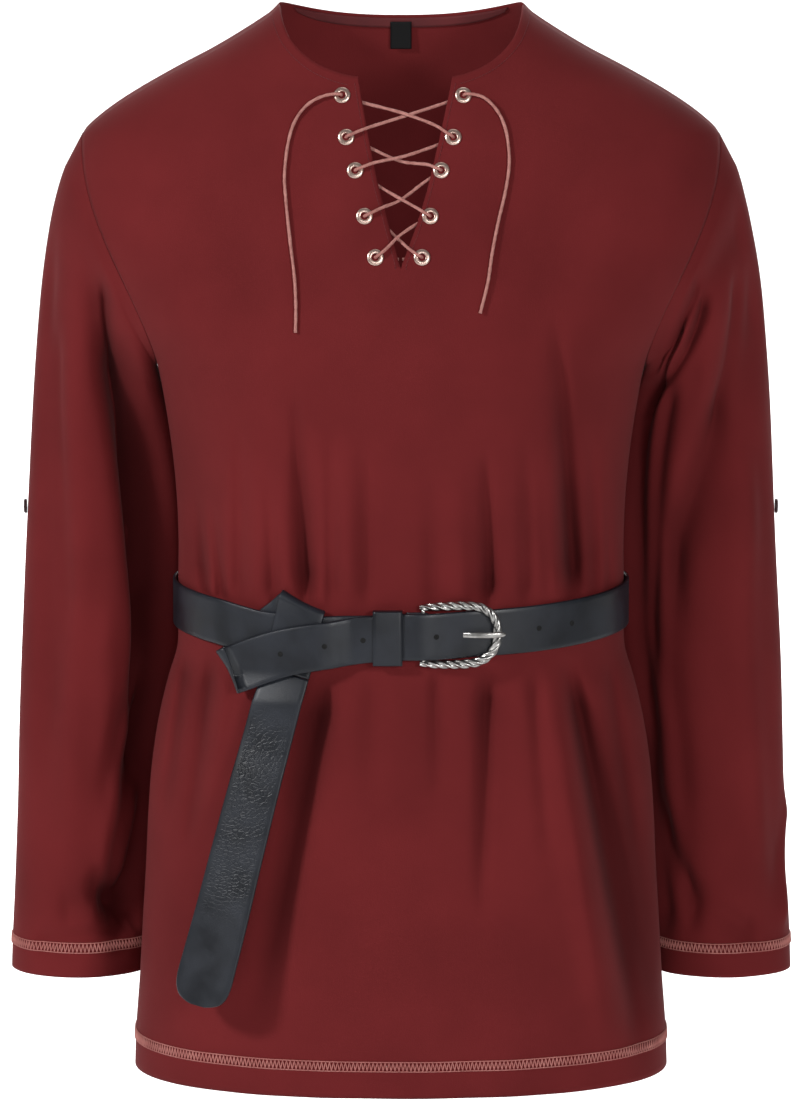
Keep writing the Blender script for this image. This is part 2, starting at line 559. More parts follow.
def shell(name, grids, normals, thickness, creases=None):
    """A closed thin shell from grids that meet at shared places: outer and inner faces, joined along open
    edges. Its creases, from 0 to 1, are kept as an attribute of the points."""
    outer = np.vstack([g.reshape(-1, 3) for g in grids])
    inner = np.vstack([(g - n * thickness).reshape(-1, 3) for g, n in zip(grids, normals)])
    faces, start = [], 0
    for g, n in zip(grids, normals):
        quads = grid_faces(g.shape[0], g.shape[1]) + start
        facing = np.cross(np.diff(g, axis=1)[:-1], np.diff(g, axis=0)[:, :-1])
        faces.append(quads if (facing * n[:-1, :-1]).sum() > 0 else quads[:, ::-1])
        start += g.shape[0] * g.shape[1]
    faces = np.vstack(faces)
    _, first, back = np.unique(np.round(outer, 3) + 0.0, axis=0, return_index=True, return_inverse=True)
    faces = back.ravel()[faces]
    outer, inner = outer[first], inner[first]
    edges = np.stack([faces, np.roll(faces, -1, axis=1)], axis=-1).reshape(-1, 2)
    sorted_edges = np.sort(edges, axis=1)
    _, index, count = np.unique(sorted_edges, axis=0, return_index=True, return_counts=True)
    rim = edges[index[count == 1]]
    total = len(outer)
    walls = np.stack([rim[:, 1], rim[:, 0], rim[:, 0] + total, rim[:, 1] + total], axis=1)
    every = np.vstack([faces, faces[:, ::-1] + total, walls])
    made = new_object(name, np.vstack([outer, inner]) * MM, every)
    face_out(made)
    if creases is not None:
        crease = np.clip(np.concatenate([c.ravel() for c in creases])[first], 0, 1)
        kept = made.data.attributes.new("crease", "FLOAT", "POINT")
        kept.data.foreach_set("value", np.concatenate([crease, crease]))
    return made


cloth_material, cloth_tree, cloth_shader = new_material("wine_cotton", (0.15, 0.014, 0.016), 0.88)
_, cloth_mix, _ = mottled(
    cloth_tree, cloth_shader, (0.126, 0.0125, 0.0137), (0.153, 0.0155, 0.017), 0.25, 0.0004,
    slow=14.0, fine=1100.0,
)
CREASE_TONE, CREASE_MOST, CREASE_POWER = (0.026, 0.001, 0.0013), 0.62, 1.3
BODY_CREASE, SLEEVE_CREASE = 16.0, 22.0  # fold depths at which the tone is full
crease_value = node(cloth_tree, "ShaderNodeAttribute", attribute_name="crease")
crease_share = spread(cloth_tree, crease_value.outputs["Fac"], 0.0, 1.0, 0.0, CREASE_MOST)
crease_mix = blend(cloth_tree, crease_share, CREASE_TONE)
cloth_tree.links.new(cloth_mix.outputs[2], crease_mix.inputs[6])
cloth_tree.links.new(crease_mix.outputs[2], cloth_shader.inputs["Base Color"])
cloth_shader.inputs["Sheen Weight"].default_value = 0.06
cloth_shader.inputs["Sheen Roughness"].default_value = 0.45
cloth_shader.inputs["Sheen Tint"].default_value = (0.9, 0.45, 0.45, 1)
cloth_shader.inputs["Specular IOR Level"].default_value = 0.12

for panel_name, side in (("front_body", -1), ("back_body", 1)):
    grids = [half_panel(side, sign) for sign in (-1, 1)]
    whole = np.concatenate([grids[0][:, ::-1], grids[1][:, 1:]], axis=1)
    outward = np.stack([whole[..., 0] * 0.2, side * 60 + whole[..., 1], np.zeros(whole.shape[:2])], axis=-1)
    middle = grid_normals(whole, outward)[:, HALF_COLUMNS]
    normals = []
    for grid in grids:
        out = np.stack([grid[..., 0] * 0.2, side * 60 + grid[..., 1], np.zeros(grid.shape[:2])], axis=-1)
        normals.append(grid_normals(grid, out))
    open_rows = np.abs(grids[0][:, 0, 0] - grids[1][:, 0, 0]) > 0.1
    for n in normals:
        n[~open_rows, 0] = middle[~open_rows]
    for grid, n in zip(grids, normals):
        seam = np.abs(grid[..., 1]) < SEAM_GAP
        low = seam & (grid[..., 2] <= ARMPIT_Z + 1)
        n[low] = (np.sign(grid[low][:, 0]))[:, None] * (1, 0, 0)
        high = seam & ~low
        lean = np.stack([n[..., 0], np.zeros_like(n[..., 0]), np.abs(n[..., 2]) + 0.2], axis=-1)
        lean /= np.linalg.norm(lean, axis=-1, keepdims=True)
        n[high] = lean[high]
    depths = [np.maximum(fold_depth(side, grid[..., 0], grid[..., 2]), 0) for grid in grids]
    creases = [(depth / BODY_CREASE) ** CREASE_POWER for depth in depths]
    panel = shell(f"{panel_name}_cloth", grids, normals, CLOTH, creases)
    panel.data.materials.append(cloth_material)
    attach(panel, "root")
    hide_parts(panel_name)

# Sleeves
# Two long set-in sleeves of the same cotton, each sewn into its armhole; they hang beside the body and a
# little behind it, with soft bends at the elbow and above the cuff.

# ring, inner x and z, outer x and z, middle y, reach in front, reach behind
RINGS = np.array([
    (0, 179.5, -262, 233, -95, 0, 56, 56), (1, 179.7, -267, 246, -119, 3, 58, 57),
    (2, 178.4, -273, 254.5, -146, 9, 58, 58), (3, 176.4, -280, 260.5, -175, 16, 57, 58),
    (4, 173.2, -289, 265.5, -207, 25, 56, 58), (5, 169.5, -300, 269.5, -242, 32, 55, 57),
    (6, 165.8, -315, 273, -280, 38, 54, 56), (7, 162.4, -338, 276, -322, 42, 53, 55),
    (8, 160, -372, 278.6, -368, 44, 52, 54), (9, 160, -414, 281, -414, 48, 51, 53),
    (10, 161, -460, 283, -460, 50, 50, 52), (11, 166.5, -506, 285, -506, 50, 49, 51),
    (12, 176, -552, 286.8, -552, 50, 48, 50), (13, 181.5, -598, 288.4, -598, 50.5, 47, 49),
    (14, 185, -640, 290.5, -640, 51, 46, 48), (15, 188, -676, 292.3, -676, 51.5, 46, 47),
    (16, 189.5, -703, 293.6, -703, 52, 46, 46), (17, 190.5, -729, 294.2, -729, 52, 46, 46),
])
# side (-1 is the picture's left), first ring and angle, last ring and angle, half width in degrees, half
# width in rings, depth
SLEEVE_FOLDS = [
    (-1, 3, 95, 12, 24, 15, 1.2, 12), (-1, 4, 150, 11, 128, 12, 1.2, 4),
    (-1, 14.2, 30, 15.2, 52, 15, 0.9, 10),
    (-1, 5, 230, 11, 280, 15, 1.2, 8), (1, 2, 28, 2.4, 140, 14, 0.8, 6), (1, 4.6, 150, 9, 76, 13, 1.1, 7),
    (1, 4, 30, 11, 32, 16, 1.3, 13), (1, 13, 22, 15, 30, 16, 0.9, 7), (1, 13.8, 178, 14.2, 160, 20, 0.6, 5),
    (1, 5, 300, 11, 250, 15, 1.2, 8),
    # finer ones
    (-1, 7.5, 58, 13.5, 26, 17, 1.8, 9), (-1, 5, 84, 11, 50, 8, 0.7, 11),
    (-1, 3, 64, 8, 44, 9, 0.8, 5), (-1, 9.5, 44, 12.5, 74, 9, 0.7, 6),
    (-1, 12.2, 40, 13.8, 62, 9, 0.6, 6), (-1, 15.6, 40, 16, 120, 9, 0.35, 4),
    (-1, 14.4, 56, 15, 100, 9, 0.45, 4.5),
    (-1, 6, 112, 12, 102, 15, 1.6, -5), (-1, 12.6, 24, 13.2, 34, 9, 0.5, -4),
    (-1, 14.8, 34, 15, 66, 8, 0.4, 9),
    (-1, 5.5, 132, 9.5, 116, 9, 0.8, 4), (-1, 10.5, 86, 13.5, 70, 9, 0.9, -4),
    (1, 2.2, 60, 4, 34, 8, 0.6, 9), (1, 2.9, 92, 5.2, 30, 7, 0.5, 11), (1, 3.6, 70, 5.6, 28, 6, 0.4, -4.5),
    (1, 3.8, 130, 6.2, 108, 9, 0.6, 7), (1, 6.2, 108, 8.8, 70, 9, 0.7, 8), (1, 9, 66, 12.5, 62, 12, 1, 5),
    (1, 13.4, 176, 15.2, 150, 10, 0.4, -4.5), (1, 14.6, 60, 15.6, 110, 9, 0.45, 5),
    (1, 13.6, 40, 15, 62, 10, 0.6, 6), (1, 8.6, 120, 13, 122, 14, 1.3, -5), (1, 5, 96, 8, 128, 10, 1, -4),
    (-1, 6, 300, 12, 320, 9, 0.9, 6), (1, 6, 230, 12, 210, 9, 0.9, 6), (1, 8, 320, 12, 296, 10, 0.9, 5),
    (-1, 8, 200, 13, 215, 11, 1, 5), (-1, 12, 240, 15, 290, 9, 0.7, 5), (1, 12, 280, 15, 240, 9, 0.7, 5),
    (-1, 2.2, 88, 8.6, 50, 7, 0.6, 10), (-1, 4.5, 72, 9.5, 40, 18, 1.5, 10),
    (-1, 14.6, 76, 15.4, 26, 8, 0.4, 8),
    (-1, 11.5, 22, 12.4, 54, 8, 0.5, 7), (1, 1.7, 86, 1.3, 34, 8, 0.5, 8), (1, 5.6, 62, 10, 48, 9, 0.8, 8),
]


SEAM_FADE = 14.0  # degrees


def sleeve_fold(side, low, angle):
    """The depth of a sleeve's folds at rings and angles: each is a Gaussian about a line from one ring and
    angle to another, and all fade out at the seam under the arm."""
    fold = np.zeros(low.shape)
    for fold_side, ring_a, angle_a, ring_b, angle_b, wide, rings, depth in SLEEVE_FOLDS:
        if fold_side != side:
            continue
        span = np.array([(ring_b - ring_a) / rings, (angle_b - angle_a) / wide])
        here_ring, here_angle = (low - ring_a) / rings, (angle - angle_a) / wide
        along = np.clip((here_ring * span[0] + here_angle * span[1]) / (span**2).sum(), 0, 1)
        fold += depth * np.exp(-((here_ring - along * span[0]) ** 2) - (here_angle - along * span[1]) ** 2)
    fold += unevenness(angle * 0.9, low * 40, 11 + side) * 1.3
    from_seam = np.clip(np.minimum(angle, 360 - angle) / SEAM_FADE, 0, 1)
    return fold * from_seam**2 * (3 - 2 * from_seam)


def sleeve_points(side, ring, angle):
    """Points on a sleeve at rings and angles: an ellipse slanted in x and z between the ring's inner point
    at 0 and its outer point at 180 degrees, pressed in by the folds. Above the first ring it runs straight
    from the armhole's own edge."""
    ring, angle = np.broadcast_arrays(np.asarray(ring, dtype=float), np.asarray(angle, dtype=float))
    low = np.maximum(ring, 1)
    in_x, in_z, out_x, out_z, mid_y, front, back = (smooth_table(RINGS, c, low) for c in range(1, 8))
    fold = sleeve_fold(side, low, angle)
    turn = np.radians(angle)
    out = (1 - np.cos(turn)) / 2
    reach = np.where(np.sin(turn) > 0, -front, back)
    x = in_x + (out_x - in_x) * out + fold * np.cos(turn)
    z = in_z + (out_z - in_z) * out
    y = mid_y + (reach - np.sign(reach) * fold) * np.abs(np.sin(turn))
    edge_z = ARMPIT_Z + (TIP_Z - ARMPIT_Z) * out
    edge_x = armhole_x(edge_z)
    edge_y = np.where(np.sin(turn) > 0, body_y(-1, side * edge_x, edge_z), body_y(1, side * edge_x, edge_z))
    edge_y = np.where(np.abs(np.sin(turn)) < 1e-3, 0, edge_y)
    rise, run = TIP_Z - ARMPIT_Z, TIP_X - ARMPIT_X
    edge_x = edge_x + ARMHOLE_GAP * rise / math.hypot(rise, run)
    edge_z = edge_z - ARMHOLE_GAP * run / math.hypot(rise, run)
    share = np.clip(ring, 0, 1)
    blended = [e + (p - e) * share for e, p in ((edge_x, x), (edge_y, y), (edge_z, z))]
    return np.stack([side * blended[0], blended[1], blended[2]], axis=-1)


def ring_normals(grid):
    """Unit normals of a grid closed round its columns, turned away from the middle of each row."""
    wrapped = np.concatenate([grid[:, -3:-1], grid, grid[:, 1:3]], axis=1)
    middle = wrapped.mean(axis=1, keepdims=True)
    return grid_normals(wrapped, wrapped - middle)[:, 2:-2]


SLEEVE_ROWS, SLEEVE_COLUMNS = 17 * 9, 216
for sleeve_name, side in (("sleeve_left", 1), ("sleeve_right", -1)):
    rings = np.linspace(0, 17, SLEEVE_ROWS + 1)[:, None]
    angles = np.linspace(0, 360, SLEEVE_COLUMNS + 1)[None, :]
    grid = sleeve_points(side, rings, angles)
    ring_grid, angle_grid = np.broadcast_arrays(rings, angles)
    depth = np.maximum(sleeve_fold(side, np.maximum(ring_grid, 1), angle_grid), 0)
    creases = (depth / SLEEVE_CREASE) ** CREASE_POWER
    sleeve = shell(f"{sleeve_name}_cloth", [grid], [ring_normals(grid)], CLOTH, [creases])
    sleeve.data.materials.append(cloth_material)
    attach(sleeve, "root")
    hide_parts(sleeve_name)

# Coverstitch bands
# Rose thread round the hem and both cuffs, about an inch above the edge: a zigzag between two running lines,
# sewn through the turned-up allowance.

thread_material, thread_tree, thread_shader = new_material("rose_thread", (0.46, 0.16, 0.14), 0.75)
mottled(
    thread_tree, thread_shader, (0.4, 0.125, 0.11), (0.52, 0.2, 0.175), 0.2, 0.0002, slow=60.0, fine=2600.0,
)


def band_threads(name, ring_at, long, low, high):
    """A band of thread round a tube of cloth: ring_at(share round, height) gives points and their outward
    normals. Two running lines at the low and high heights and a zigzag of 2.9 mm pitch between them."""
    pieces = []
    steps = int(long / 1.6)
    share = np.linspace(0, 1, steps)
    for height in (low, high):
        places, normals = ring_at(share, np.full(steps, height))
        pieces.append(places + normals * (0.3 + 0.18 * np.cos(np.arange(steps) * 1.7))[:, None])
    turns = int(long / 2.9)
    zig = np.linspace(0, 1, turns * 6 + 1)
    sway = np.abs((np.arange(zig.size) / 3.0) % 2 - 1)
    places, normals = ring_at(zig, low + (high - low) * sway)
    pieces.append(places + normals * 0.55)
    for number, line in enumerate(pieces):
        thread = tube(f"{name}_{number + 1}", line, 0.42 if number < 2 else 0.46, 6)
        thread.data.materials.append(thread_material)
        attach(thread, "root")


def body_ring(share, height):
    """Points and level outward normals round the body at heights: the rounded section walked by its angle."""
    angle = 2 * np.pi * share
    sine, cosine = np.sin(angle), np.cos(angle)
    x = smooth_table(SECTIONS, 1, height) * np.sign(sine) * np.abs(sine) ** (2 / ROUNDNESS)
    y = np.where(cosine > 0, body_y(-1, x, height), body_y(1, x, height))
    places = np.stack([x, y, height], axis=-1)
    run = np.gradient(np.stack([x, y], axis=-1), axis=0)
    run[0] = run[-1] = (run[1] + run[-2]) / 2
    normal = np.stack([run[:, 1], -run[:, 0], np.zeros(len(x))], axis=-1)
    normal /= np.linalg.norm(normal, axis=1, keepdims=True)
    return places, normal * np.sign((normal * places).sum(1, keepdims=True))


def even_body_ring(share, height):
    """body_ring with the share taken as even length round the hem."""
    fine = np.linspace(0, 1, 2001)
    places, _ = body_ring(fine, np.full(2001, -766.0))
    length = np.concatenate([[0], np.cumsum(np.linalg.norm(np.diff(places, axis=0), axis=1))])
    return body_ring(np.interp(share, length / length[-1], fine), height)


def cuff_ring(side):
    """A function like body_ring for a sleeve: heights are read as rings."""
    def ring_at(share, ring):
        angle = 360 * share
        places = sleeve_points(side, ring, angle)
        ahead = sleeve_points(side, ring, angle + 0.5) - sleeve_points(side, ring, angle - 0.5)
        up = sleeve_points(side, np.minimum(ring + 0.02, 17), angle) - sleeve_points(side, ring - 0.02, angle)
        normal = np.cross(ahead, up)
        normal /= np.linalg.norm(normal, axis=1, keepdims=True)
        middle = np.array([side * 242.0, 51.0, 0.0])
        outward = (places - middle) * (1, 1, 0)
        return places, normal * np.sign((normal * outward).sum(1, keepdims=True))
    return ring_at


band_threads("hem_stitch", even_body_ring, 1060, -769.5, -762.5)
for sleeve_name, side in (("left", 1), ("right", -1)):
    band_threads(f"cuff_stitch_{sleeve_name}", cuff_ring(side), 318, 16.28, 16.02)


# Seams and stitch lines
# Fine running stitches in the cloth's own colour beside the neck's edge and the slit.

seam_material, _, _ = new_material("wine_thread", (0.12, 0.011, 0.013), 0.8)


def stitch_line(name, places, normals, pitch=2.8, radius=0.3):
    """A thread that dips into the cloth once a stitch: its lift is a rectified sine of the pitch."""
    along = np.concatenate([[0], np.cumsum(np.linalg.norm(np.diff(places, axis=0), axis=1))])
    even = np.arange(0, along[-1], pitch / 5)
    line = np.stack([np.interp(even, along, places[:, i]) for i in range(3)], axis=1)
    square = np.stack([np.interp(even, along, normals[:, i]) for i in range(3)], axis=1)
    lift = -radius * 1.3 + 1.9 * radius * np.abs(np.sin(np.pi * even / pitch))
    thread = tube(name, line + square * lift[:, None], radius, 5)
    thread.data.materials.append(seam_material)
    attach(thread, "root")


def beside(x, z, away):
    """A line beside a line in the x-z plane, at a distance to its left when walked."""
    run = np.stack([np.gradient(x), np.gradient(z)])
    run /= np.linalg.norm(run, axis=0)
    return x - run[1] * away, z + run[0] * away


NECK_STITCH, SLIT_STITCH = 6.5, 3.2
for number, sign in enumerate((-1, 1)):
    neck_x = np.linspace(41 if sign > 0 else 37, 87.5, 60)
    line_x, line_z = beside(neck_x, smooth_table(FRONT_NECKLINE, 1, neck_x), -NECK_STITCH)
    line_x = sign * line_x
    neck_line = over_body(-1, line_x, line_z, 0)
    stitch_line(f"neck_stitch_{number + 1}", neck_line, body_normal(-1, line_x, line_z))
    slit_z = np.linspace(-53, -184, 60)
    slit_x = smooth_table(SLIT, 1 if sign < 0 else 2, slit_z) + sign * SLIT_STITCH
    places = over_body(-1, slit_x, slit_z, 0)
    stitch_line(f"slit_stitch_{number + 1}", places, body_normal(-1, slit_x, slit_z))
back_x = np.linspace(-86, 86, 80)
back_line_x, back_line_z = beside(back_x, top_z(1, back_x), -NECK_STITCH)
back_line = over_body(1, back_line_x, back_line_z, 0)
stitch_line("neck_stitch_back", back_line, body_normal(1, back_line_x, back_line_z))

# Neck tape and label
# A narrow cotton tape over the back neck's seam, and a bare black satin label folded over below it.

tape_material, tape_tree, tape_shader = new_material("wine_tape", (0.1, 0.01, 0.012), 0.85)
mottled(
    tape_tree, tape_shader, (0.085, 0.009, 0.011), (0.12, 0.012, 0.014), 0.3, 0.0003, slow=40.0, fine=1500.0,
)
TAPE_HALF, TAPE_WIDE, TAPE_THICK, TAPE_SEAT = 80.0, 6.5, 0.9, 0.5
tape_x = np.linspace(-TAPE_HALF, TAPE_HALF, 81)[None, :] + np.zeros((5, 1))
tape_wide = TAPE_WIDE * (1 - np.abs(tape_x[:1] / TAPE_HALF) ** 6) ** 0.7 + 0.5
tape_z = top_z(1, tape_x) - 1.5 - np.linspace(0, 1, 5)[:, None] * tape_wide
tape_grid = over_body(1, tape_x, tape_z, -(1.4 + TAPE_SEAT))
tape = shell("neck_tape", [tape_grid], [body_normal(1, tape_x, tape_z)], TAPE_THICK)
tape.data.materials.append(tape_material)
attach(tape, "root")
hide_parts("neck_binding")

label_material, _, label_shader = new_material("black_satin", (0.003, 0.003, 0.0035), 0.6)
label_shader.inputs["Specular IOR Level"].default_value = 0.2
LABEL_HALF, LABEL_TOP, LABEL_HIGH = 7.9, -17.0, 20.0
label_x = np.linspace(-LABEL_HALF, LABEL_HALF, 13)[None, :] + np.zeros((21, 1))
label_z = LABEL_TOP - np.linspace(0, LABEL_HIGH, 21)[:, None] + np.zeros_like(label_x)
curl = 0.8 * (np.linspace(0, 1, 21)[:, None] ** 2)
label_grid = over_body(1, label_x, label_z, -(1.4 + TAPE_SEAT + TAPE_THICK + 0.4) - curl)
label = shell("bare_label", [label_grid], [body_normal(1, label_x, label_z)], 0.7)
label.data.materials.append(label_material)
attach(label, "root")
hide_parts("neck_label")

# Eyelets and sleeve buttons
# Ten pressed eyelets of pale rose metal with rounded rims, and a small dark sewn button on each sleeve.


def turned(name, profile, segments, place, axis):
    """A solid turned about an axis at a place, from a closed profile of radius and height in millimetres."""
    profile = np.asarray(profile, dtype=float)
    angle = np.linspace(0, 2 * np.pi, segments, endpoint=False)[:, None]
    first = np.cross(axis, (0.12, 0.3, 0.9))
    first /= np.linalg.norm(first)
    second = np.cross(axis, first)
    radius, height = profile[:, 0], profile[:, 1]
    around = (np.cos(angle) * radius)[..., None] * first + (np.sin(angle) * radius)[..., None] * second
    places = np.asarray(place) + around + height[:, None] * np.asarray(axis)
    made = new_object(name, places.reshape(-1, 3) * MM, grid_faces(segments, len(profile), True, True))
    face_out(made)
    return made


eyelet_material, eyelet_tree, eyelet_shader = new_material("rose_metal", (0.66, 0.47, 0.4), 0.3, 0.9)
mottled(
    eyelet_tree, eyelet_shader, (0.6, 0.41, 0.34), (0.74, 0.56, 0.48), 0.15, 0.0002, slow=300.0, fine=1800.0,
)
# height, left x, right x
EYELET_PAIRS = [
    (-61.7, -42.4, 44.8), (-91, -39.4, 37.5), (-114.2, -32.9, 28.8), (-146.3, -26.2, 21), (-175.3, -18.4, 15),
]
EYELET_PROFILE = [
    (2.6, -1.7), (2.6, 0.6), (2.75, 0.95), (3.1, 1.15), (3.9, 1.25),
    (4.8, 1.1), (5.5, 0.85), (5.9, 0.55), (6, 0.35),
    (3.3, 0.33), (3.3, -1.7),
]
for number, (z, left, right) in enumerate(EYELET_PAIRS, 1):
    for side_name, x in (("left", left), ("right", right)):
        centre = over_body(-1, x, z, 0)
        normal = body_normal(-1, np.array(float(x)), np.array(float(z)))
        eyelet = turned(f"pressed_eyelet_{side_name}_{number}", EYELET_PROFILE, 36, centre, normal)
        eyelet.data.materials.append(eyelet_material)
        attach(eyelet, "root")
        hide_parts(f"eyelet_{side_name}_{number}")

button_material, _, _ = new_material("dark_button", (0.03, 0.006, 0.008), 0.35)
BUTTON_PROFILE = [
    (0.01, 0.5), (5.2, 0.5), (5.5, 0.9), (5.5, 2.1), (5.2, 2.6),
    (4.6, 2.8), (4.0, 2.6), (3.4, 2.2), (1.6, 2.05),
    (0.01, 2.0),
]
BUTTON_RING, BUTTON_ANGLE = 8.2, 178.0
for sleeve_name, side in (("left", 1), ("right", -1)):
    centre = sleeve_points(side, BUTTON_RING, BUTTON_ANGLE)
    button = turned(f"tab_button_{sleeve_name}", BUTTON_PROFILE, 40, centre, (side, 0, 0))
    button.data.materials.append(button_material)
    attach(button, "root")
    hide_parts(f"sleeve_button_{sleeve_name}")

# Belt
# A black stamped-leather belt, 34 mm wide: round the waist, through the buckle and its keeper, turned over
# in a half hitch, with the tail hanging in front. Laid out flat as along, rise and out, then bent round the
# waist.

BELT_WIDE, BELT_THICK = 34.0, 2.6
WAIST_HALF, WAIST_FRONT, WAIST_BACK = 165.5, 114.4, 107.4
BELT_SIDE_Z, BELT_DIP = -440.0, 9.0
FLARE_FROM, FLARE_SHARE, FLARE_MOST = 166.0, 0.9, 6.0


def rounded(v):
    """The body's rounded sine or cosine: its size to the power 2 over the roundness, with its sign."""
    return np.sign(v) * np.abs(v) ** (2 / ROUNDNESS)


waist_angle = np.linspace(0, 2 * np.pi, 1441)
waist_deep = np.where(np.cos(waist_angle) > 0, WAIST_FRONT, WAIST_BACK)
waist_x = WAIST_HALF * rounded(np.sin(waist_angle))
waist_line = np.stack([waist_x, -waist_deep * rounded(np.cos(waist_angle))], axis=1)
waist_along = np.concatenate([[0], np.cumsum(np.linalg.norm(np.diff(waist_line, axis=0), axis=1))])
WAIST_LONG = waist_along[-1]


def waist_place(along):
    """The point of the waist's line at a length along it from the middle of the front."""
    wrapped = np.mod(along, WAIST_LONG)
    return np.stack([np.interp(wrapped, waist_along, waist_line[:, i]) for i in (0, 1)], axis=-1)


def from_belt(points):
    """Bends flat belt places round the waist: out along the line's normal, up from a line that dips in
    front, and pushed out by the cloth that widens below."""
    points = np.asarray(points, dtype=float)
    along, rise, out = points[..., 0], points[..., 1], points[..., 2]
    here, after, before = waist_place(along), waist_place(along + 2), waist_place(along - 2)
    normal = np.stack([after[..., 1] - before[..., 1], before[..., 0] - after[..., 0]], axis=-1)
    normal /= np.linalg.norm(normal, axis=-1, keepdims=True)
    z = BELT_SIDE_Z - BELT_DIP * np.maximum(0, -here[..., 1] / WAIST_FRONT) ** 2 + rise
    flare = np.clip(FLARE_SHARE * (smooth_table(SECTIONS, 1, z) - FLARE_FROM), 0, FLARE_MOST)
    here = here + normal * (out + flare)[..., None]
    return np.concatenate([here, z[..., None]], axis=-1)


# A strap's section: width and thickness from -1 to 1, its long edges rounded
STRAP_FLAT = np.linspace(-0.94, 0.94, 13)
STRAP_SECTION = np.array(
    [(w, 1) for w in STRAP_FLAT] + [(0.975, 0.8), (0.995, 0.35), (0.995, -0.35), (0.975, -0.8)]
    + [(w, -1) for w in STRAP_FLAT[::-1]] + [(-0.975, -0.8), (-0.995, -0.35), (-0.995, 0.35), (-0.975, 0.8)]
)


def strap(name, stations):
    """A strap through stations of middle, across and face directions, width and thickness, in belt places.
    UV runs along it and across it in metres."""
    at, across, face, wide, thick = stations
    w, t = STRAP_SECTION[:, 0], STRAP_SECTION[:, 1]
    flat = (at[:, None] + across[:, None] * (wide[:, None] / 2 * w)[..., None]
            + face[:, None] * (thick[:, None] / 2 * t)[..., None])
    places = from_belt(flat)
    rows, columns = places.shape[:2]
    ends = np.stack([places[0].mean(0), places[-1].mean(0)])
    vertices = np.vstack([places.reshape(-1, 3), ends]) * MM
    faces = grid_faces(rows, columns, closed_columns=True).tolist()
    k = np.arange(columns)
    first, last = rows * columns, rows * columns + 1
    faces += [(first, int((i + 1) % columns), int(i)) for i in k]
    faces += [(last, int((rows - 1) * columns + i), int((rows - 1) * columns + (i + 1) % columns)) for i in k]
    made = new_object(name, vertices, faces)
    middle = from_belt(at)
    along = np.concatenate([[0], np.cumsum(np.linalg.norm(np.diff(middle, axis=0), axis=1))]) * MM
    u = np.concatenate([np.repeat(along, columns), [0, along[-1]]])
    v = np.concatenate([(wide[:, None] / 2 * w * MM).ravel(), [0, 0]])
    add_uv(made, u, v)
    face_out(made)
    return made


def stations_of(rows, upright, facing=1):
    """Stations of rows of along, rise, out, width and thickness. The run comes from the neighbours; the
    width stands as near upright, or the face looks as near outward, as the run allows."""
    rows = np.asarray(rows, dtype=float)
    at = rows[:, :3]
    run = np.vstack([at[1:], at[-1:]]) - np.vstack([at[:1], at[:-1]])
    run /= np.linalg.norm(run, axis=1, keepdims=True)
    square = np.array([0, 1, 0]) if upright else np.array([0, 0, facing])
    square = square - run * (run @ square)[:, None]
    square /= np.linalg.norm(square, axis=1, keepdims=True)
    across = square if upright else np.cross(square, run)
    face = np.cross(square, run) if upright else square
    return at, across, face, rows[:, 3], rows[:, 4]


def fold_over(start, run, axis, toward, radius, steps):
    """A strap turned over a slanting line: its middle winds about the line in a half circle while it slides
    along it, so that it leaves at the mirrored angle."""
    start, run, axis = (np.asarray(v, dtype=float) for v in (start, run, axis))
    run, axis = run / np.linalg.norm(run), axis / np.linalg.norm(axis)
    side = run - axis * (run @ axis)
    slide = radius * (run @ axis) / np.linalg.norm(side)
    side /= np.linalg.norm(side)
    turned_to = np.array([0, 0, toward])
    angle = np.linspace(0, np.pi, steps + 1)[:, None]
    at = (start + side * radius * np.sin(angle) + turned_to * radius * (1 - np.cos(angle)) + axis * slide * angle)
    direction = axis * slide / radius + side * np.cos(angle) + turned_to * np.sin(angle)
    direction /= np.linalg.norm(direction, axis=1, keepdims=True)
    face = -turned_to * np.cos(angle) + side * np.sin(angle)
    full = np.ones(steps + 1)
    return at, np.cross(face, direction), face, full * BELT_WIDE, full * BELT_THICK


def joined(*parts):
    """Several runs of stations as one."""
    return tuple(np.concatenate([part[i] for part in parts]) for i in range(5))


# Leather: a fine grain over the whole strap, and on the tail a faint stamped lattice that fades at both ends
stamp_ends = [("From", "NodeSocketFloat", 0.0), ("To", "NodeSocketFloat", 1.0)]
stamp, stamp_in, stamp_out = effect_group("stamp", stamp_ends)
stamp_uv = node(stamp, "ShaderNodeUVMap", uv_map="UVMap")
stamp_place = node(stamp, "ShaderNodeSeparateXYZ", {"Vector": stamp_uv.outputs["UV"]})
STAMP_SCALE, STAMP_LINE, STAMP_FADE = 330.0, 0.12, 0.03
STAMP_INSIDE, STAMP_EDGE = 0.0125, 0.0145  # metres from the strap's middle line
stamp_cells = node(
    stamp, "ShaderNodeTexVoronoi", {"Vector": stamp_uv.outputs["UV"], "Scale": STAMP_SCALE, "Randomness": 1.0},
    feature="DISTANCE_TO_EDGE",
)
stamp_lines = spread(stamp, stamp_cells.outputs["Distance"], 0.0, STAMP_LINE)
from_start = maths(stamp, "SUBTRACT", stamp_place.outputs["X"], stamp_in.outputs["From"])
from_end = maths(stamp, "SUBTRACT", stamp_in.outputs["To"], stamp_place.outputs["X"])
stamp_fade = spread(stamp, maths(stamp, "MINIMUM", from_start, from_end), 0.0, STAMP_FADE)
from_middle = maths(stamp, "ABSOLUTE", stamp_place.outputs["Y"])
stamp_mask = maths(stamp, "MULTIPLY", stamp_fade, spread(stamp, from_middle, STAMP_EDGE, STAMP_INSIDE))
stamp_height = maths(stamp, "MULTIPLY", maths(stamp, "SUBTRACT", 1.0, stamp_lines), stamp_mask)
stamp.links.new(stamp_mask, stamp_out.inputs["Mask"])
stamp.links.new(stamp_height, stamp_out.inputs["Height"])


